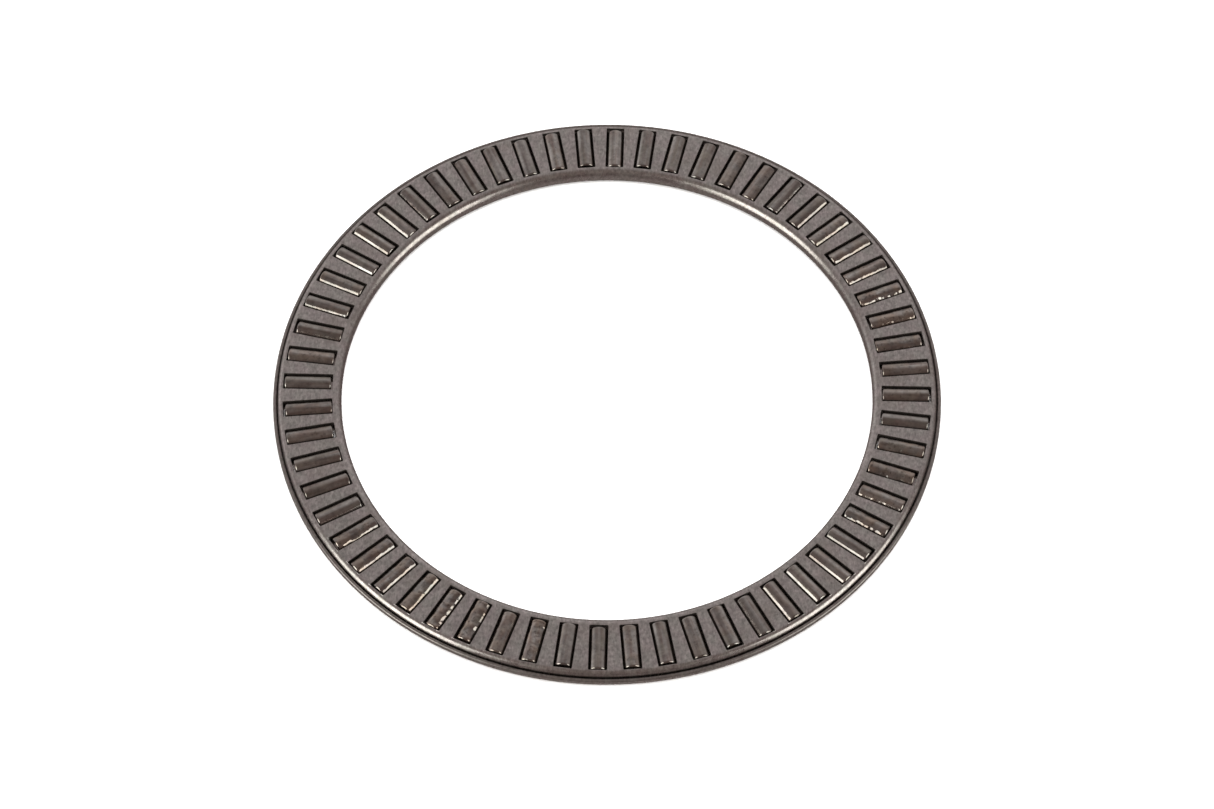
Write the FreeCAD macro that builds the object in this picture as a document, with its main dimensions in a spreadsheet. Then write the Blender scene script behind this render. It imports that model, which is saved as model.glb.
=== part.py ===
import FreeCAD, Part
import math
import os
import Sketcher

# Axial needle roller and cage assembly, in millimetres.
# Origin: on the bearing axis, in the plane that the rollers' undersides touch.  +Z is the bearing axis.
# Two pressed sheet-steel channel rings nest into one hollow cage.  The upper shell opens downward: its
# inner flange lines the bore, outside the lower shell's inner lip, and its outer flange sits inside the
# lower shell's outer lip.  Radial windows through both shells are a little narrower than the rollers, so
# the closed cage keeps every roller in its pocket.

DRIVING_SIZES = {
    "cage_outer_radius": 45.0,
    "cage_inner_radius": 35.8,
    "cage_height": 1.95,
    "sheet_thickness": 0.5,
    "nesting_gap": 0.03,
    "rim_groove": 0.13,
    "outer_flange_end_gap": 0.1,
    "inner_flange_rise": 0.205,
    "outer_lip_drop": 0.735,
    "inner_lip_drop": 1.025,
    "upper_inner_bend_radius": 0.95,
    "upper_outer_bend_radius": 0.7,
    "lower_bend_radius": 0.6,
    "tip_radius": 0.2,
    "roller_count": 60,
    "roller_diameter": 2.5,
    "roller_length": 6.3,
    "roller_corner_radius": 0.25,
    "pitch_radius": 40.3,
    "pocket_width": 2.44,
    "pocket_end_play": 0.35,
}

# Sizes worked out from the driving ones by the spreadsheet itself.
DERIVED_SIZES = {
    "roller_radius": "=roller_diameter / 2",
    "cage_bottom": "=roller_radius - cage_height / 2",
    "cage_top": "=roller_radius + cage_height / 2",
    "upper_inner_inside_bend": "=upper_inner_bend_radius - sheet_thickness",
    "upper_outer_inside_bend": "=upper_outer_bend_radius - sheet_thickness",
    "lower_inside_bend": "=lower_bend_radius - sheet_thickness",
    "floor_top": "=cage_bottom + sheet_thickness",
    "roof_underside": "=cage_top - sheet_thickness",
    "outer_lip_top": "=cage_top - outer_lip_drop",
    "inner_lip_top": "=cage_top - inner_lip_drop",
    "outer_flange_bottom": "=floor_top + outer_flange_end_gap",
    "inner_flange_bottom": "=cage_bottom + inner_flange_rise",
    "outer_lip_inside": "=cage_outer_radius - sheet_thickness",
    "outer_flange_outside": "=outer_lip_inside - rim_groove",
    "outer_flange_inside": "=outer_flange_outside - sheet_thickness",
    "inner_flange_inside": "=cage_inner_radius + sheet_thickness",
    "inner_lip_outside": "=inner_flange_inside + nesting_gap",
    "inner_lip_inside": "=inner_lip_outside + sheet_thickness",
    "pocket_inner_end": "=pitch_radius - (roller_length + pocket_end_play) / 2",
    "pocket_outer_end": "=pitch_radius + (roller_length + pocket_end_play) / 2",
    "pocket_right_side": "=pocket_width / 2",
    "pocket_left_side": "=-pocket_width / 2",
}

# Closed half sections (radius, height), named by spreadsheet cell, walked point by point.
UPPER_SHELL_SECTION = [
    ("cage_inner_radius", "inner_flange_bottom"),
    ("cage_inner_radius", "cage_top"),
    ("outer_flange_outside", "cage_top"),
    ("outer_flange_outside", "outer_flange_bottom"),
    ("outer_flange_inside", "outer_flange_bottom"),
    ("outer_flange_inside", "roof_underside"),
    ("inner_flange_inside", "roof_underside"),
    ("inner_flange_inside", "inner_flange_bottom"),
]
LOWER_SHELL_SECTION = [
    ("inner_lip_outside", "inner_lip_top"),
    ("inner_lip_outside", "cage_bottom"),
    ("cage_outer_radius", "cage_bottom"),
    ("cage_outer_radius", "outer_lip_top"),
    ("outer_lip_inside", "outer_lip_top"),
    ("outer_lip_inside", "floor_top"),
    ("inner_lip_inside", "floor_top"),
    ("inner_lip_inside", "inner_lip_top"),
]
POCKET_OUTLINE = [
    ("pocket_inner_end", "pocket_left_side"),
    ("pocket_outer_end", "pocket_left_side"),
    ("pocket_outer_end", "pocket_right_side"),
    ("pocket_inner_end", "pocket_right_side"),
]

# Each roller floats along its pocket.  The rollers rest at scattered places within this share of the
# end play to either side of the pitch circle; the golden angle keeps neighbours from forming a pattern.
ROLLER_DRIFT_SHARE = 0.4
ROLLER_DRIFT_STEP_DEG = 137.5

# A library part has room for 60 node files, so the rollers numbered here share a node with the
# roller opposite, which turns about the same axis line.
PAIRED_ROLLERS = [15, 30]

EDGE_MATCH_TOLERANCE = 1e-4

document = FreeCAD.newDocument("needle_thrust_cage")


def make_sizes_sheet():
    """Put every driving and derived size in a spreadsheet cell whose alias is the size's name."""
    sheet = document.addObject("Spreadsheet::Sheet", "sizes")
    rows = list(DRIVING_SIZES.items()) + list(DERIVED_SIZES.items())
    for row, (alias, content) in enumerate(rows, start=1):
        sheet.set(f"A{row}", alias)
        sheet.set(f"B{row}", str(content))
        sheet.setAlias(f"B{row}", alias)
    document.recompute()
    return sheet


sizes = make_sizes_sheet()


def size(alias):
    return float(sizes.get(alias))


def origin_feature(body, role):
    """Return one of the body's own origin planes or axes."""
    return next(feature for feature in body.Origin.OriginFeatures if feature.Role == role)


def bind(feature, prop, alias):
    feature.setExpression(prop, f"sizes.{alias}")


def new_body(label):
    body = document.addObject("PartDesign::Body", label)
    body.Label = label
    return body


def new_sketch(body, name, plane_role):
    sketch = body.newObject("Sketcher::SketchObject", f"{body.Name}_{name}")
    sketch.AttachmentSupport = [(origin_feature(body, plane_role), "")]
    sketch.MapMode = "FlatFace"
    return sketch


def closed_outline(body, name, plane_role, corners):
    """Sketch a closed polygon whose corners are pairs of spreadsheet aliases."""
    sketch = new_sketch(body, name, plane_role)
    points = [FreeCAD.Vector(size(across), size(along), 0) for across, along in corners]
    for start, end in zip(points, points[1:] + points[:1]):
        sketch.addGeometry(Part.LineSegment(start, end), False)
    for index, (across, along) in enumerate(corners):
        following = (index + 1) % len(corners)
        sketch.addConstraint(Sketcher.Constraint("Coincident", index, 2, following, 1))
        for kind, alias in (("DistanceX", across), ("DistanceY", along)):
            constraint = sketch.addConstraint(Sketcher.Constraint(kind, -1, 1, index, 1, size(alias)))
            sketch.renameConstraint(constraint, f"corner{index}_{kind}")
            bind(sketch, f"Constraints.corner{index}_{kind}", alias)
    return sketch


def ring_edges(feature, places):
    """Name the circular edges about Z that lie at the given (radius, height) aliases."""
    targets = [(size(radius), size(height)) for radius, height in places]
    names = []
    for number, edge in enumerate(feature.Shape.Edges, start=1):
        if not isinstance(edge.Curve, Part.Circle):
            continue
        for radius, height in targets:
            same_radius = abs(edge.Curve.Radius - radius) < EDGE_MATCH_TOLERANCE
            same_height = abs(edge.Curve.Center.z - height) < EDGE_MATCH_TOLERANCE
            if same_radius and same_height:
                names.append(f"Edge{number}")
    if len(names) != len(places):
        raise ValueError(f"{feature.Name}: found {len(names)} edges to round, not {len(places)}")
    return names


def round_rings(body, base, name, places, radius_alias):
    """Round ring-shaped edges of the last feature."""
    fillet = body.newObject("PartDesign::Fillet", f"{body.Name}_{name}")
    fillet.Base = (base, ring_edges(base, places))
    bind(fillet, "Radius", radius_alias)
    document.recompute()
    return fillet


def cut_pockets(body, base):
    """Cut one radial window and repeat it around the bearing axis."""
    outline = closed_outline(body, "pocket_outline", "XY_Plane", POCKET_OUTLINE)
    pocket = body.newObject("PartDesign::Pocket", f"{body.Name}_pocket")
    pocket.Profile = outline
    pocket.Type = "ThroughAll"
    pocket.SideType = "Symmetric"
    document.recompute()
    window_area = size("pocket_width") * (size("pocket_outer_end") - size("pocket_inner_end"))
    window_volume = window_area * size("sheet_thickness")
    check_removed(base, pocket, window_volume)

    pattern = body.newObject("PartDesign::PolarPattern", f"{body.Name}_pockets")
    pattern.Originals = [pocket]
    pattern.Axis = (origin_feature(body, "Z_Axis"), [""])
    pattern.Angle = 360
    bind(pattern, "Occurrences", "roller_count")
    body.Tip = pattern
    document.recompute()
    check_removed(base, pattern, window_volume * size("roller_count"))


def check_removed(before, after, expected):
    removed = before.Shape.Volume - after.Shape.Volume
    if abs(removed - expected) > 0.01 * expected:
        raise ValueError(f"{after.Name} removed {removed:.3f} mm3, expected {expected:.3f} mm3")


def turned_channel(body, section):
    """Turn a closed half section about the bearing axis into a ring."""
    outline = closed_outline(body, "section", "XZ_Plane", section)
    ring = body.newObject("PartDesign::Revolution", f"{body.Name}_ring")
    ring.Profile = outline
    ring.ReferenceAxis = (outline, ["V_Axis"])
    ring.Angle = 360
    document.recompute()
    return ring


def make_upper_shell():
    body = new_body("upper_cage_shell")
    bent = turned_channel(body, UPPER_SHELL_SECTION)
    bends = [
        ("inner_outside_bend", [("cage_inner_radius", "cage_top")], "upper_inner_bend_radius"),
        ("outer_outside_bend", [("outer_flange_outside", "cage_top")], "upper_outer_bend_radius"),
        ("inner_inside_bend", [("inner_flange_inside", "roof_underside")], "upper_inner_inside_bend"),
        ("outer_inside_bend", [("outer_flange_inside", "roof_underside")], "upper_outer_inside_bend"),
    ]
    for name, places, radius_alias in bends:
        bent = round_rings(body, bent, name, places, radius_alias)
    tips = [(wall, "inner_flange_bottom") for wall in ("cage_inner_radius", "inner_flange_inside")]
    bent = round_rings(body, bent, "flange_tip", tips, "tip_radius")
    cut_pockets(body, bent)
    return body


def make_lower_shell():
    body = new_body("lower_cage_shell")
    bent = turned_channel(body, LOWER_SHELL_SECTION)
    outside = [("inner_lip_outside", "cage_bottom"), ("cage_outer_radius", "cage_bottom")]
    inside = [("inner_lip_inside", "floor_top"), ("outer_lip_inside", "floor_top")]
    tips = [
        ("inner_lip_outside", "inner_lip_top"),
        ("inner_lip_inside", "inner_lip_top"),
        ("outer_lip_inside", "outer_lip_top"),
        ("cage_outer_radius", "outer_lip_top"),
    ]
    bent = round_rings(body, bent, "outside_bends", outside, "lower_bend_radius")
    bent = round_rings(body, bent, "inside_bends", inside, "lower_inside_bend")
    bent = round_rings(body, bent, "lip_tips", tips, "tip_radius")
    cut_pockets(body, bent)
    return body


def roller_place(number):
    """Place roller 1 at one pitch from +X and count counter-clockwise seen from above."""
    angle = 360.0 / size("roller_count") * number
    drift = size("pocket_end_play") * ROLLER_DRIFT_SHARE
    radius = size("pitch_radius") + drift * math.sin(math.radians(ROLLER_DRIFT_STEP_DEG * number))
    turn = FreeCAD.Rotation(FreeCAD.Vector(0, 0, 1), angle)
    centre = turn.multVec(FreeCAD.Vector(radius, 0, 0)) + FreeCAD.Vector(0, 0, size("roller_radius"))
    return FreeCAD.Placement(centre, turn)


def make_roller(number):
    """Make a needle roller along its own X axis, then lay it in its pocket."""
    body = new_body(f"roller_{number:02d}")
    section = new_sketch(body, "section", "YZ_Plane")
    circle = Part.Circle(FreeCAD.Vector(0, 0, 0), FreeCAD.Vector(0, 0, 1), size("roller_radius"))
    section.addGeometry(circle, False)
    section.addConstraint(Sketcher.Constraint("Coincident", 0, 3, -1, 1))
    diameter = section.addConstraint(Sketcher.Constraint("Diameter", 0, size("roller_diameter")))
    section.renameConstraint(diameter, "diameter")
    bind(section, "Constraints.diameter", "roller_diameter")

    pin = body.newObject("PartDesign::Pad", f"{body.Name}_pin")
    pin.Profile = section
    pin.SideType = "Symmetric"
    bind(pin, "Length", "roller_length")
    document.recompute()

    ends = [
        f"Edge{index}"
        for index, edge in enumerate(pin.Shape.Edges, start=1)
        if isinstance(edge.Curve, Part.Circle)
    ]
    corners = body.newObject("PartDesign::Fillet", f"{body.Name}_corners")
    corners.Base = (pin, ends)
    bind(corners, "Radius", "roller_corner_radius")
    body.Placement = roller_place(number)
    return body


def pair_with_opposite(rollers, number):
    """Group a roller with the one across the ring as two separate solids."""
    opposite = number + int(size("roller_count")) // 2
    label = f"rollers_{number:02d}_and_{opposite:02d}"
    pair = document.addObject("Part::Compound", label)
    pair.Label = label
    pair.Links = [rollers.pop(number), rollers.pop(opposite)]
    return pair


def check_objects(sub_parts, solid_counts):
    """Stop if any object failed to compute or any sub-part isn't a sound solid."""
    for item in document.Objects:
        if "Invalid" in item.State or "Error" in item.State:
            raise ValueError(f"{item.Label} failed to compute: {item.State}")
    for sub_part, solids in zip(sub_parts, solid_counts):
        shape = sub_part.Shape
        if shape.isNull() or not shape.isValid() or len(shape.Solids) != solids:
            raise ValueError(f"{sub_part.Label} isn't {solids} valid solid(s)")


def write_steps(sub_parts):
    os.makedirs("parts", exist_ok=True)
    for sub_part in sub_parts:
        sub_part.Shape.exportStep(f"parts/{sub_part.Label}.step")


shells = [make_upper_shell(), make_lower_shell()]
single_rollers = {number: make_roller(number) for number in range(1, int(size("roller_count")) + 1)}
roller_pairs = [pair_with_opposite(single_rollers, number) for number in PAIRED_ROLLERS]
document.recompute()

nodes = shells + list(single_rollers.values()) + roller_pairs
solids_in_node = [1] * (len(nodes) - len(roller_pairs)) + [2] * len(roller_pairs)
check_objects(nodes, solids_in_node)
write_steps(nodes)

cage_volume = sum(shell.Shape.Volume for shell in shells)
roller_volume = single_rollers[1].Shape.Volume
print(f"{len(nodes)} nodes, cage {cage_volume:.1f} mm3, one roller {roller_volume:.2f} mm3")
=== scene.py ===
"""Axial needle roller and cage assembly: two nested drawn steel shells that hold sixty polished rollers.

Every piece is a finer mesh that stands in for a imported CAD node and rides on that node's body.
Lengths are metres; MM turns a size given in millimetres into metres.
"""
import math

import bmesh
import bpy
import numpy as np
from mathutils import Matrix, Vector


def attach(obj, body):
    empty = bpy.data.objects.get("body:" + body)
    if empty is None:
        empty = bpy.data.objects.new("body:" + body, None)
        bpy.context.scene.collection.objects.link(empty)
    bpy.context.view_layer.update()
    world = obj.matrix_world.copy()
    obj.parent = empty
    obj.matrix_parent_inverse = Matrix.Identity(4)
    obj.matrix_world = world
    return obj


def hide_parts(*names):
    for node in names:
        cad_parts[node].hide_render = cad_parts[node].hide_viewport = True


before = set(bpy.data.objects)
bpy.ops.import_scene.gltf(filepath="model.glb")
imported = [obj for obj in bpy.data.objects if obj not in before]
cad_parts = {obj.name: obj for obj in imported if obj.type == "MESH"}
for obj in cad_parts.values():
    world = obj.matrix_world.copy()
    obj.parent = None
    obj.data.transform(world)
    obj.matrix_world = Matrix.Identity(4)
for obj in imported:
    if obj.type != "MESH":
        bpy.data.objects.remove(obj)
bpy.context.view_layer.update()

MM = 0.001

# The two shells. Their radii and heights aren't here: they are read from the CAD points.
SHEET = 0.5 * MM
# Each shell's flanges as (outside bend radius, tip radius), first at the bore and then at the outer rim.
FLANGES = {
    "upper_cage_shell": ((0.95 * MM, 0.2 * MM), (0.7 * MM, 0.06 * MM)),
    "lower_cage_shell": ((0.6 * MM, 0.2 * MM), (0.6 * MM, 0.2 * MM)),
}
# CAD points this close to a rim are on its flange.
FLANGE_ZONE = 1.1 * SHEET
# A window: its sides, the radius of the circle its middle is on, and the radii that round its corners
# in plan and its edges.
WINDOW_LENGTH = 6.65 * MM
WINDOW_WIDTH = 2.44 * MM
WINDOW_CENTRE = 40.3 * MM
WINDOW_CORNER = 0.14 * MM
WINDOW_EDGE = 0.03 * MM
# How sheared a flange's tip looks, where a window's edge is 1, and how drawn the tip's inner half looks.
TIP_CUT = 0.5
TIP_DRAWN = 0.5
# A bend looks fully drawn after one part in this many of its turn.
DRAWN_ONSET = 3.0

# The rollers.
ROLLER_COUNT = 60
ROLLER_CORNER = 0.25 * MM
# Stretches of the ring with more oil, in degrees from +X towards +Y, and how much more.
OILY_SECTORS = ((8, 46), (214, 263), (326, 350))
OILY_EXTRA = 0.55
# How much the oil differs from one roller to the next, and how quickly that changes round the ring.
OIL_UNEVEN = 0.45
OIL_PACE = 2.4
# The distance in the noise between the marks of one roller and the next.
SEED_STEP = 7.31

# How finely the shells are divided: across and along a sector, on half a window corner, round a bend's
# outside and inside, round half a tip and over a window's edge.
END_STEPS = 12
SIDE_STEPS = 14
CORNER_STEPS = 2
BEND_STEPS = 10
INSIDE_BEND_STEPS = 4
TIP_STEPS = 5
EDGE_STEPS = 3
# Loops of points on the web, as shares of the way from a window to the edge of its sector.
WEB_LOOPS = (0.62, 0.28, 0.08)
# How finely the rollers are divided: around, over a corner, and along as shares of half the length.
ROLLER_AROUND = 64
ROLLER_CORNER_STEPS = 6
ROLLER_RINGS = (0.6, 0.2)
# Points this close to a rounded edge keep the flat beside it flat in the shading.
EDGE_SUPPORT = 0.006 * MM
BEND_SUPPORT = 4 * EDGE_SUPPORT
# Points closer than this are one point.
MERGE = 0.001 * MM

# The camera, about the centre of the bearing's seat on the floor. Azimuth is in degrees from straight
# in front towards +X, and the aim is a little below the centre in the picture.
CAMERA_ELEVATION = 56.593
CAMERA_AZIMUTH = 1.952
CAMERA_DISTANCE = 559.8 * MM
CAMERA_ROLL = 0.426
CAMERA_LENS = 122.86
CAMERA_SENSOR = 36.0
CAMERA_CLIP = 0.01
AIM_DOWN = 1.063 * MM

# The floor, just clear of the rollers that the bearing lies on.
FLOOR_HALF = 6.0
FLOOR_DROP = 0.01 * MM


# ---------------------------------------------------------------- mesh helpers


def piece_from(name, points, faces, attributes, node, material):
    """A smooth-shaded mesh object, merged where its patches meet, standing for a CAD node."""
    mesh = bpy.data.meshes.new(name)
    mesh.from_pydata([tuple(p) for p in points], [], faces)
    for key, values in attributes.items():
        layer = mesh.attributes.new(key, "FLOAT", "POINT")
        layer.data.foreach_set("value", np.asarray(values, np.float32))
    shape = bmesh.new()
    shape.from_mesh(mesh)
    bmesh.ops.remove_doubles(shape, verts=shape.verts, dist=MERGE)
    for face in shape.faces:
        face.smooth = True
    shape.to_mesh(mesh)
    shape.free()
    mesh.materials.append(material)
    piece = bpy.data.objects.new(name, mesh)
    bpy.context.scene.collection.objects.link(piece)
    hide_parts(node)
    return piece


def turned_about_z(points, angle):
    """The points turned about the bearing's axis by an angle in radians."""
    c, s = math.cos(angle), math.sin(angle)
    turn = np.array(((c, -s, 0.0), (s, c, 0.0), (0.0, 0.0, 1.0)))
    return np.asarray(points) @ turn.T


def node_points(node):
    """A CAD node's vertices as an array, in the frame."""
    return np.array([v.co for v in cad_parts[node].data.vertices], float)


# ---------------------------------------------------------------- the shells


def window_loop(grow):
    """The window's outline in a sector's own plan, counter-clockwise from its outer right corner.

    Each corner is an arc shared half and half by the two sides that meet in it."""
    corner = WINDOW_CORNER + grow
    half_length = WINDOW_LENGTH / 2 + grow
    half_width = WINDOW_WIDTH / 2 + grow
    sides = ((half_length, half_width, END_STEPS), (half_width, half_length, SIDE_STEPS)) * 2
    loop = []
    for quarter, (reach, run, steps) in enumerate(sides):
        c, s = math.cos(quarter * math.pi / 2), math.sin(quarter * math.pi / 2)
        for j in range(steps):
            if j < CORNER_STEPS:
                angle = math.pi / 4 * (j / CORNER_STEPS - 1)
                across = reach - corner + corner * math.cos(angle)
                along = corner - run + corner * math.sin(angle)
            elif j <= steps - CORNER_STEPS:
                across = reach
                along = (run - corner) * (2 * (j - CORNER_STEPS) / (steps - 2 * CORNER_STEPS) - 1)
            else:
                angle = math.pi / 4 * (j - steps + CORNER_STEPS) / CORNER_STEPS
                across = reach - corner + corner * math.cos(angle)
                along = run - corner + corner * math.sin(angle)
            loop.append((WINDOW_CENTRE + across * c - along * s, across * s + along * c))
    return np.array(loop)


def sector_loop(inner, outer):
    """The outline of one sector of the flat web, point for point beside window_loop."""
    half = math.pi / ROLLER_COUNT
    loop = []
    for j in range(END_STEPS):
        loop.append((outer, half * (2 * j / END_STEPS - 1)))
    for j in range(SIDE_STEPS):
        loop.append((outer + (inner - outer) * j / SIDE_STEPS, half))
    for j in range(END_STEPS):
        loop.append((inner, half * (1 - 2 * j / END_STEPS)))
    for j in range(SIDE_STEPS):
        loop.append((inner + (outer - inner) * j / SIDE_STEPS, -half))
    return np.array([(r * math.cos(a), r * math.sin(a)) for r, a in loop])


def quarter_turn(steps):
    """The angles of a quarter turn in equal steps, from 0."""
    return [math.pi / 2 * j / steps for j in range(steps + 1)]


def web_loops(inner, outer):
    """(plan outline, depth below the outside face, cut) from the outer edge of the web's outside face,
    through the window, to the outer edge of its inside face. Cut is 1 on the window's sheared edge."""
    rim = sector_loop(inner, outer)
    support = window_loop(WINDOW_EDGE + EDGE_SUPPORT)
    outside = [(rim, 0.0, 0.0)]
    for share in WEB_LOOPS:
        outside.append((rim * share + support * (1 - share), 0.0, 0.0))
    outside.append((support, 0.0, 0.0))
    for angle in quarter_turn(EDGE_STEPS):
        edge = window_loop(WINDOW_EDGE * (1 - math.sin(angle)))
        outside.append((edge, WINDOW_EDGE * (1 - math.cos(angle)), 1.0))
    inside = [(plan, SHEET - depth, cut) for plan, depth, cut in reversed(outside)]
    return outside + inside


def flange_rows(outside_bend, reach, tip):
    """(distance beyond the flat web, depth, bend, cut) down the outside of a drawn flange, round its tip
    and back up inside. Bend says how drawn the surface looks and cut how sheared."""
    inside_bend = outside_bend - SHEET
    rows = []
    for j, angle in enumerate(quarter_turn(BEND_STEPS)):
        bend = min(1.0, DRAWN_ONSET * j / BEND_STEPS)
        rows.append((outside_bend * math.sin(angle), outside_bend * (1 - math.cos(angle)), bend, 0.0))
    for depth in (outside_bend + BEND_SUPPORT, reach - tip - BEND_SUPPORT):
        rows.append((outside_bend, depth, 1.0, 0.0))
    for angle in quarter_turn(TIP_STEPS):
        beyond = outside_bend - tip * (1 - math.cos(angle))
        rows.append((beyond, reach - tip * (1 - math.sin(angle)), 1.0, TIP_CUT))
    for angle in quarter_turn(TIP_STEPS):
        beyond = inside_bend + tip * (1 - math.sin(angle))
        rows.append((beyond, reach - tip * (1 - math.cos(angle)), TIP_DRAWN, TIP_CUT))
    for angle in quarter_turn(INSIDE_BEND_STEPS):
        depth = SHEET + inside_bend * (1 - math.sin(angle))
        rows.append((inside_bend * math.cos(angle), depth, 0.0, 0.0))
    return rows


def shell_rims(node, radii, depths):
    """(radius of the flat web's edge, way outward, rows of the flange beyond it) for the outer rim and
    the bore. Radii and depths are those of the shell's CAD points."""
    (inner_bend, inner_tip), (outer_bend, outer_tip) = FLANGES[node]
    bore, rim = radii.min(), radii.max()
    inner_reach = depths[radii < bore + FLANGE_ZONE].max()
    outer_reach = depths[radii > rim - FLANGE_ZONE].max()
    return (
        (rim - outer_bend, 1.0, flange_rows(outer_bend, outer_reach, outer_tip)),
        (bore + inner_bend, -1.0, flange_rows(inner_bend, inner_reach, inner_tip)),
    )


def join_rows(rows, closed, points, faces):
    """Adds rows of points, and the quads that join each row to the next."""
    width = len(rows[0])
    first = len(points)
    for row in rows:
        points.extend(row)
    for m in range(len(rows) - 1):
        for j in range(width if closed else width - 1):
            a = first + m * width + j
            b = first + m * width + (j + 1) % width
            faces.append((a, b, b + width, a + width) if closed else (b, a, a + width, b + width))


def channel_shell(node, material):
    """One cage shell: a ring of flat web with a window for each roller, and a drawn flange at each rim.

    One sector, with one window, is made and then repeated round the ring."""
    places = node_points(node)
    radii = np.hypot(places[:, 0], places[:, 1])
    heights = places[:, 2]
    upward = "upper" in node
    face_height = heights.max() if upward else heights.min()
    up = 1.0 if upward else -1.0
    rims = shell_rims(node, radii, up * (face_height - heights))
    (outer, _, _), (inner, _, _) = rims
    points, faces, bends, cuts = [], [], [], []

    web = web_loops(inner, outer)
    loops = [[(x, y, face_height - up * depth) for x, y in plan] for plan, depth, _ in web]
    join_rows(loops, True, points, faces)
    for plan, _, cut in web:
        bends.extend([0.0] * len(plan))
        cuts.extend([cut] * len(plan))

    half = math.pi / ROLLER_COUNT
    for edge, outward, rows in rims:
        angles = [outward * half * (2 * j / END_STEPS - 1) for j in range(END_STEPS + 1)]
        strip = []
        for beyond, depth, bend, cut in rows:
            radius, height = edge + outward * beyond, face_height - up * depth
            strip.append([(radius * math.cos(a), radius * math.sin(a), height) for a in angles])
            bends.extend([bend] * len(angles))
            cuts.extend([cut] * len(angles))
        join_rows(strip, False, points, faces)
    if not upward:
        faces = [face[::-1] for face in faces]

    sector, count = np.array(points), len(points)
    turned = [turned_about_z(sector, 2 * math.pi * n / ROLLER_COUNT) for n in range(ROLLER_COUNT)]
    every_point = np.vstack(turned)
    every_face = [tuple(i + n * count for i in face) for n in range(ROLLER_COUNT) for face in faces]
    attributes = {"bend": bends * ROLLER_COUNT, "cut": cuts * ROLLER_COUNT}
    shell = piece_from(node + "_sheet", every_point, every_face, attributes, node, material)
    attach(shell, "cage")


# ---------------------------------------------------------------- the rollers


def roller_profile(length, radius):
    """(place along the axis, radius) from the middle of one end to the middle of the other."""
    half = length / 2
    flat = radius - ROLLER_CORNER
    profile = [(half, 0.0), (half, flat / 2), (half, flat - BEND_SUPPORT)]
    for angle in quarter_turn(ROLLER_CORNER_STEPS):
        drop = ROLLER_CORNER * (1 - math.cos(angle))
        profile.append((half - drop, flat + ROLLER_CORNER * math.sin(angle)))
    profile.append((half - ROLLER_CORNER - BEND_SUPPORT, radius))
    profile += [(half * share, radius) for share in ROLLER_RINGS]
    return profile + [(-place, r) for place, r in reversed(profile)]


def lathe(profile, centre):
    """Points and faces of a solid turned about X. The profile starts and ends on the axis."""
    points, faces = [(centre + profile[0][0], 0.0, 0.0)], []
    for place, r in profile[1:-1]:
        for j in range(ROLLER_AROUND):
            angle = 2 * math.pi * j / ROLLER_AROUND
            points.append((centre + place, r * math.cos(angle), r * math.sin(angle)))
    points.append((centre + profile[-1][0], 0.0, 0.0))
    last, rings = len(points) - 1, len(profile) - 2
    for j in range(ROLLER_AROUND):
        k = (j + 1) % ROLLER_AROUND
        faces.append((0, 1 + j, 1 + k))
        for m in range(rings - 1):
            a, b = 1 + m * ROLLER_AROUND + j, 1 + m * ROLLER_AROUND + k
            faces.append((a, a + ROLLER_AROUND, b + ROLLER_AROUND, b))
        base = 1 + (rings - 1) * ROLLER_AROUND
        faces.append((last, base + k, base + j))
    return points, faces


def oiliness(degrees, number):
    """How much oil a roller carries, from 0 to 1: most in a few stretches of the ring, uneven everywhere."""
    uneven = 0.5 + 0.5 * math.sin(OIL_PACE * number * number)
    inside = any(low <= degrees % 360 <= high for low, high in OILY_SECTORS)
    return (OILY_EXTRA if inside else 0.0) + OIL_UNEVEN * uneven


def roller_piece(node, material):
    """The roller, or the opposite pair of rollers, that a CAD node holds."""
    number = int(node.split("_")[1])
    azimuth = 2 * math.pi * number / ROLLER_COUNT
    places = turned_about_z(node_points(node), -azimuth)
    radius = (places[:, 2].max() - places[:, 2].min()) / 2
    height = (places[:, 2].max() + places[:, 2].min()) / 2
    points, faces, seeds, oils = [], [], [], []
    # A roller's own side, and the far side, where only a pair has a second roller.
    for side in (1.0, -1.0):
        along = places[places[:, 0] * side > 0, 0]
        if not len(along):
            continue
        centre = (along.max() + along.min()) / 2
        solid, skin = lathe(roller_profile(along.max() - along.min(), radius), centre)
        faces += [tuple(i + len(points) for i in face) for face in skin]
        points += solid
        which = number if side > 0 else number + ROLLER_COUNT / 2
        seeds += [which * SEED_STEP] * len(solid)
        oils += [oiliness(which * 360 / ROLLER_COUNT, which)] * len(solid)
    attributes = {"seed": seeds, "oil": oils}
    piece = piece_from(node + "_ground", points, faces, attributes, node, material)
    piece.matrix_world = Matrix.Translation((0.0, 0.0, height)) @ Matrix.Rotation(azimuth, 4, "Z")
    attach(piece, node)


# ---------------------------------------------------------------- materials


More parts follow.
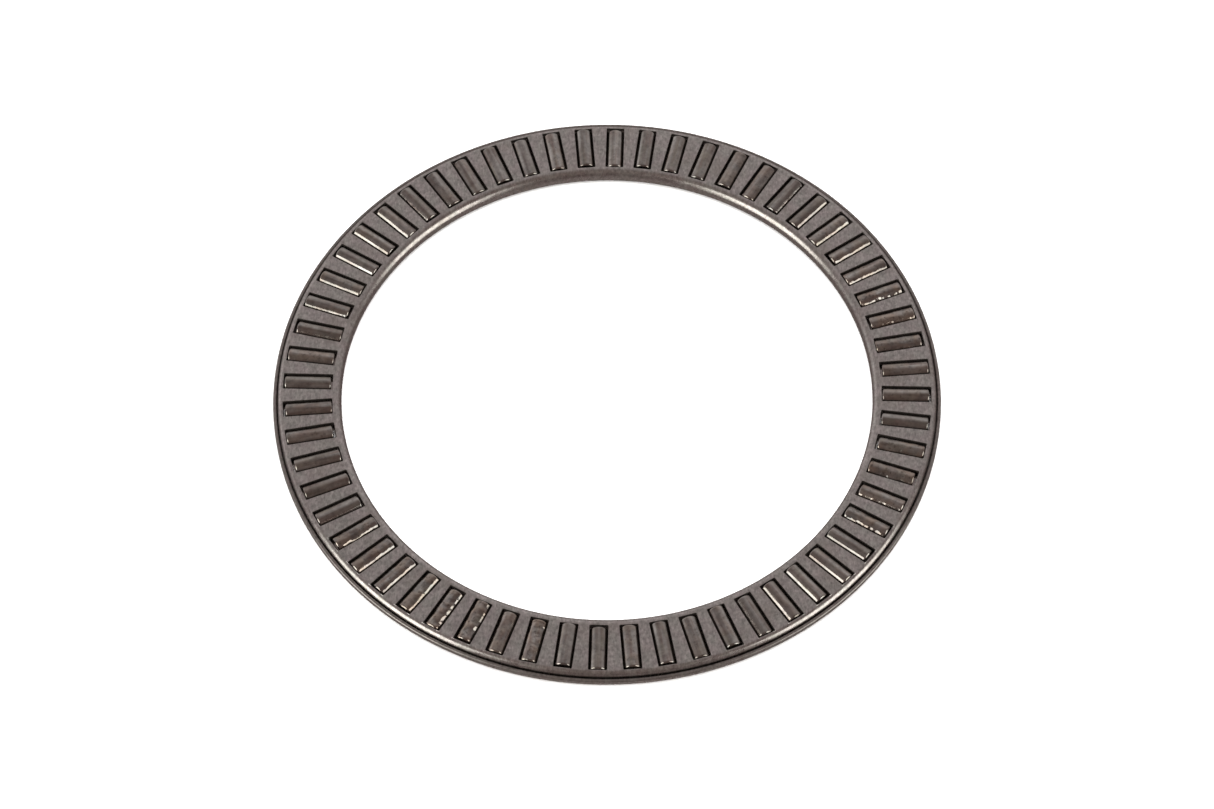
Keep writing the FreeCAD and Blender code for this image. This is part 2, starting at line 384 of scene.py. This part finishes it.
class Graph:
    """Adds shader nodes to a tree. A value is a number, a tuple or another node's output."""

    def __init__(self, tree):
        self.tree = tree

    def add(self, kind, inputs, **settings):
        made = self.tree.nodes.new(kind)
        for key, value in settings.items():
            setattr(made, key, value)
        for key, value in inputs.items():
            self.feed(made.inputs[key], value)
        return made

    def feed(self, socket, value):
        if isinstance(value, bpy.types.NodeSocket):
            self.tree.links.new(value, socket)
        else:
            socket.default_value = value

    def number(self, operation, a, b=0.0):
        return self.add("ShaderNodeMath", {0: a, 1: b}, operation=operation).outputs[0]

    def vector(self, operation, a, b=(0.0, 0.0, 0.0), c=(0.0, 0.0, 0.0)):
        inputs = {0: a, 1: b}
        if operation == "MULTIPLY_ADD":
            inputs[2] = c
        made = self.add("ShaderNodeVectorMath", inputs, operation=operation)
        return made.outputs["Value" if operation in ("DOT_PRODUCT", "LENGTH") else "Vector"]

    def noise(self, place, scale, detail, w=0.0, rates=None):
        """Noise about 0.5. A rate below 1 draws its marks out along X, Y or Z."""
        if rates is not None:
            place = self.vector("MULTIPLY", place, rates)
        inputs = {"Vector": place, "W": w, "Scale": scale, "Detail": detail}
        return self.add("ShaderNodeTexNoise", inputs, noise_dimensions="4D").outputs[0]

    def spread(self, value, low, high, start=0.0, end=1.0):
        """The value's range from low to high turned into start to end, and held there outside it."""
        inputs = {"Value": value, "From Min": low, "From Max": high, "To Min": start, "To Max": end}
        return self.add("ShaderNodeMapRange", inputs, clamp=True).outputs[0]

    def blend(self, factor, a, b):
        return self.add("ShaderNodeMix", {0: factor, 6: a, 7: b}, data_type="RGBA").outputs[2]

    def marked(self, colour, mask, strength, mark):
        """The colour with a mark over it, as strong as the mask says."""
        return self.blend(self.number("MULTIPLY", mask, strength), colour, mark)

    def shaded(self, colour, coarse, coarse_ends, fine, fine_ends):
        """The colour made darker and lighter by two noises, each between its own two ends."""
        coarse_shade = self.spread(coarse, 0.3, 0.7, *coarse_ends)
        fine_shade = self.spread(fine, 0.3, 0.7, *fine_ends)
        return self.vector("MULTIPLY", colour, self.number("MULTIPLY", coarse_shade, fine_shade))

    def attribute(self, name):
        return self.add("ShaderNodeAttribute", {}, attribute_name=name).outputs["Fac"]

    def position(self):
        """The place on the piece, in millimetres."""
        place = self.add("ShaderNodeTexCoord", {}).outputs["Object"]
        return self.vector("MULTIPLY", place, (1 / MM,) * 3)

    def bump(self, height, depth, normal=None):
        """A bump whose height, from 0 to 1, stands for depth millimetres."""
        inputs = {"Height": height, "Distance": depth * MM, "Strength": 1.0}
        if normal is not None:
            inputs["Normal"] = normal
        return self.add("ShaderNodeBump", inputs).outputs[0]


def new_material(name):
    material = bpy.data.materials.new(name)
    material.use_nodes = True
    return material, Graph(material.node_tree), material.node_tree.nodes["Principled BSDF"]


def drawn_streaks(g, place):
    """Noise drawn out round the bearing's axis, for the press tool's streaks on the bends.

    It changes slowly round the ring, and quickly up a flange and outward."""
    round_rate, up_rate, outward_rate = 30.0, 6.0, 7.0
    plan = g.vector("MULTIPLY", place, (1.0, 1.0, 0.0))
    around = g.vector("NORMALIZE", plan)
    radius = g.vector("LENGTH", plan)
    height = g.vector("MULTIPLY", place, (0.0, 0.0, up_rate))
    rim_place = g.vector("MULTIPLY_ADD", around, (round_rate, round_rate, 0.0), height)
    return g.noise(rim_place, 0.9, 3.0, g.number("MULTIPLY", radius, outward_rate))


def cage_material():
    """Satin cold-rolled sheet: rolling lines along Y, drawn streaks round the bends, oil stains and grime,
    and darker sheared edges."""
    material, g, shader = new_material("cage_sheet_steel")
    place = g.position()
    bend = g.attribute("bend")
    cut = g.attribute("cut")
    rolled = g.noise(place, 7.0, 4.0, rates=(1.0, 0.045, 1.0))
    brushed = g.noise(place, 2.2, 3.0, rates=(1.0, 0.12, 1.0))
    drawn = drawn_streaks(g, place)
    mottle = g.noise(place, 0.55, 4.0)
    speckle = g.noise(place, 3.4, 2.0)
    stain = g.noise(place, 0.21, 5.0, 3.7)
    grain = g.noise(place, 2.4, 3.0, 5.1)
    fine = g.noise(place, 5.6, 2.0, 8.3, rates=(1.0, 0.4, 1.0))

    warm = (0.412, 0.374, 0.368, 1.0)
    cool = (0.392, 0.377, 0.360, 1.0)
    oil_brown = (0.30, 0.25, 0.22, 1.0)
    grime_brown = (0.12, 0.10, 0.09, 1.0)
    streak_brown = (0.34, 0.28, 0.245, 1.0)
    sheared = (0.10, 0.085, 0.075, 1.0)
    colour = g.blend(g.spread(mottle, 0.38, 0.62), warm, cool)
    colour = g.shaded(colour, grain, (0.78, 1.24), fine, (0.76, 1.24))
    colour = g.blend(g.spread(stain, 0.52, 0.72, 0.0, 0.35), colour, oil_brown)
    grime = g.number("MULTIPLY", g.spread(speckle, 0.62, 0.78), g.spread(mottle, 0.5, 0.65))
    colour = g.marked(colour, grime, 0.45, grime_brown)
    streaks = g.number("MULTIPLY", g.spread(drawn, 0.35, 0.7), bend)
    colour = g.marked(colour, streaks, 0.28, streak_brown)
    colour = g.marked(colour, cut, 0.75, sheared)
    g.feed(shader.inputs["Base Color"], colour)
    shader.inputs["Metallic"].default_value = 1.0

    web_rough, bend_rough = 0.40, 0.29
    rough = g.spread(bend, 0.0, 1.0, web_rough, bend_rough)
    rough = g.number("ADD", rough, g.spread(mottle, 0.35, 0.65, -0.04, 0.05))
    rough = g.number("ADD", rough, g.spread(brushed, 0.3, 0.7, -0.03, 0.03))
    rough = g.number("ADD", rough, g.number("MULTIPLY", cut, 0.2))
    g.feed(shader.inputs["Roughness"], rough)

    normal = g.bump(rolled, 0.006)
    normal = g.bump(drawn, 0.004, normal)
    normal = g.bump(mottle, 0.012, normal)
    g.feed(shader.inputs["Normal"], normal)
    return material


def roller_material():
    """Ground and polished steel under an uneven film of oil, each roller with its own marks."""
    material, g, shader = new_material("roller_steel")
    place = g.position()
    seed = g.attribute("seed")
    oil = g.attribute("oil")

    def marks(scale, detail, shift, rates=None):
        """Noise that differs from roller to roller. The shift keeps marks of a like size apart."""
        return g.noise(place, scale, detail, g.number("ADD", seed, shift), rates)

    ground = marks(14.0, 2.0, 0.0, (1.0, 0.05, 0.05))
    streak = marks(2.3, 3.0, 0.0, (0.10, 1.0, 1.0))
    film = marks(0.72, 1.5, 11.0, (1.0, 0.8, 0.8))
    patch = marks(0.8, 4.0, 23.0, (0.6, 1.0, 1.0))
    spot = marks(2.6, 3.0, 37.0)
    band = marks(1.2, 2.0, 51.0, (0.10, 1.0, 1.0))
    cloud = marks(1.5, 3.0, 67.0)

    clean = (0.322, 0.306, 0.292, 1.0)
    brown = (0.198, 0.144, 0.128, 1.0)
    olive = (0.242, 0.220, 0.182, 1.0)
    golden = (0.360, 0.278, 0.222, 1.0)
    dried = (0.070, 0.055, 0.045, 1.0)
    tint = g.blend(g.spread(patch, 0.42, 0.62), brown, olive)
    colour = g.blend(g.spread(streak, 0.38, 0.62, 0.05, 0.75), clean, tint)
    colour = g.shaded(colour, band, (0.74, 1.26), cloud, (0.76, 1.24))
    gilding = g.number("MULTIPLY", g.spread(film, 0.42, 0.60), oil)
    colour = g.marked(colour, gilding, 0.75, golden)
    stained = g.number("MULTIPLY", g.spread(spot, 0.56, 0.70), g.spread(oil, 0.0, 1.0, 0.25, 0.8))
    colour = g.blend(stained, colour, dried)
    g.feed(shader.inputs["Base Color"], colour)
    shader.inputs["Metallic"].default_value = 1.0
    streak_rough = g.spread(streak, 0.3, 0.7, 0.11, 0.18)
    patch_rough = g.spread(patch, 0.4, 0.7, -0.02, 0.05)
    g.feed(shader.inputs["Roughness"], g.number("ADD", streak_rough, patch_rough))

    # The film is thin everywhere and deep only where there is much oil.
    thickness = g.spread(g.number("POWER", oil, 2.0), 0.0, 1.0, 0.06, 1.0)
    pooled = g.number("MULTIPLY", film, thickness)
    steel_normal = g.bump(ground, 0.0012)
    g.feed(shader.inputs["Normal"], g.bump(pooled, 0.42, steel_normal))
    g.feed(shader.inputs["Coat Normal"], g.bump(pooled, 0.50))
    shader.inputs["Coat Weight"].default_value = 0.6
    shader.inputs["Coat Roughness"].default_value = 0.06
    shader.inputs["Coat IOR"].default_value = 1.45
    return material


def floor_material():
    """Plain pale studio floor."""
    material, _, shader = new_material("floor_pale")
    shader.inputs["Base Color"].default_value = (0.93, 0.93, 0.93, 1.0)
    shader.inputs["Roughness"].default_value = 0.9
    shader.inputs["Specular IOR Level"].default_value = 0.1
    return material


# ---------------------------------------------------------------- surroundings


def direction(azimuth, elevation):
    """The unit vector at an azimuth from +X towards +Y and an elevation above the floor, in degrees."""
    a, e = math.radians(azimuth), math.radians(elevation)
    return Vector((math.cos(e) * math.cos(a), math.cos(e) * math.sin(a), math.sin(e)))


# The studio as the steel reflects it: azimuth, elevation, sharpness, brightness, warmth.
STUDIO_BASE = (0.152, 0.116, 0.110)
STUDIO_LOBES = (
    (85, 44, 8, 0.335, 0.0),
    (90, 10, 4, 0.32, 0.0),
    (270, -60, 2, 0.175, 0.04),
    (146, 12, 9, 0.62, 0.0),
    (36, 22, 7, 0.30, 0.0),
    (172, 45, 6, 0.15, 0.0),
    (275, 68, 4, 0.10, 0.12),
)
# Softboxes: azimuth, elevation, width and height in degrees, brightness.
SOFTBOXES = (
    (211, 15, 40, 56, 3.2),
    (337, 13, 39, 56, 2.6),
)
SOFTBOX_TINT = (0.98, 1.0, 0.94)
SOFTBOX_DISTANCE = 0.8
# The overhead light, and the angle in degrees that it fills.
KEY_STRENGTH = 5.5
KEY_ANGLE = 110.0


def build_world():
    """A soft grey studio, built from a few broad lobes of light."""
    world = bpy.data.worlds.new("studio")
    bpy.context.scene.world = world
    world.use_nodes = True
    g = Graph(world.node_tree)
    towards = g.add("ShaderNodeTexCoord", {}).outputs["Generated"]
    towards = g.vector("NORMALIZE", towards)
    total = STUDIO_BASE
    for azimuth, elevation, sharpness, brightness, warmth in STUDIO_LOBES:
        facing = g.vector("DOT_PRODUCT", towards, tuple(direction(azimuth, elevation)))
        lobe = g.number("POWER", g.number("MAXIMUM", facing, 0.0), sharpness)
        colour = (brightness * (1 + warmth), brightness, brightness * (1 - warmth))
        total = g.vector("MULTIPLY_ADD", lobe, colour, total)
    background = world.node_tree.nodes["Background"]
    g.feed(background.inputs["Color"], total)
    background.inputs["Strength"].default_value = 1.0


def build_lights():
    """Two side softboxes that the bright edges reflect, and a broad overhead light for the floor."""
    for n, (azimuth, elevation, width, height, radiance) in enumerate(SOFTBOXES):
        lamp = bpy.data.lights.new(f"softbox_{n}", "AREA")
        lamp.shape = "RECTANGLE"
        lamp.size = 2 * SOFTBOX_DISTANCE * math.tan(math.radians(width / 2))
        lamp.size_y = 2 * SOFTBOX_DISTANCE * math.tan(math.radians(height / 2))
        # The power that gives a flat lamp of this size its radiance.
        lamp.energy = radiance * math.pi * lamp.size * lamp.size_y
        lamp.color = SOFTBOX_TINT
        box = bpy.data.objects.new(lamp.name, lamp)
        outward = direction(azimuth, elevation)
        box.location = outward * SOFTBOX_DISTANCE
        box.rotation_euler = outward.to_track_quat("Z", "Y").to_euler()
        bpy.context.scene.collection.objects.link(box)
    key = bpy.data.lights.new("overhead", "SUN")
    key.energy = KEY_STRENGTH
    key.angle = math.radians(KEY_ANGLE)
    overhead = bpy.data.objects.new(key.name, key)
    overhead.visible_glossy = False
    bpy.context.scene.collection.objects.link(overhead)


def build_floor():
    """A floor under the bearing that the steel neither reflects nor is shaded by."""
    corners = ((-1, -1), (1, -1), (1, 1), (-1, 1))
    mesh = bpy.data.meshes.new("floor")
    mesh.from_pydata([(x * FLOOR_HALF, y * FLOOR_HALF, -FLOOR_DROP) for x, y in corners], [], [(0, 1, 2, 3)])
    mesh.materials.append(floor_material())
    floor = bpy.data.objects.new("floor", mesh)
    floor.visible_glossy = False
    floor.visible_shadow = False
    bpy.context.scene.collection.objects.link(floor)


def build_camera():
    """The camera at the photograph's angle, turned a little about its own line of sight."""
    outward = direction(CAMERA_AZIMUTH - 90, CAMERA_ELEVATION)
    right = Vector((0, 0, 1)).cross(outward).normalized()
    up = outward.cross(right)
    roll = math.radians(CAMERA_ROLL)
    tilted_up = right * math.sin(roll) + up * math.cos(roll)
    place = outward * CAMERA_DISTANCE
    target = -AIM_DOWN * tilted_up
    back = (place - target).normalized()
    side = tilted_up.cross(back).normalized()
    turn = Matrix((side, back.cross(side), back)).transposed()
    data = bpy.data.cameras.new("camera")
    data.lens = CAMERA_LENS
    data.sensor_width = CAMERA_SENSOR
    data.clip_start = CAMERA_CLIP
    camera = bpy.data.objects.new("camera", data)
    camera.matrix_world = Matrix.Translation(place) @ turn.to_4x4()
    bpy.context.scene.collection.objects.link(camera)
    bpy.context.scene.camera = camera


# ---------------------------------------------------------------- the scene


def main():
    cage_steel = cage_material()
    for node in FLANGES:
        channel_shell(node, cage_steel)
    roller_steel = roller_material()
    for node in sorted(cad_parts):
        if node.startswith("roller"):
            roller_piece(node, roller_steel)
    build_floor()
    build_world()
    build_lights()
    build_camera()
    bpy.context.scene.view_settings.view_transform = "Standard"


main()
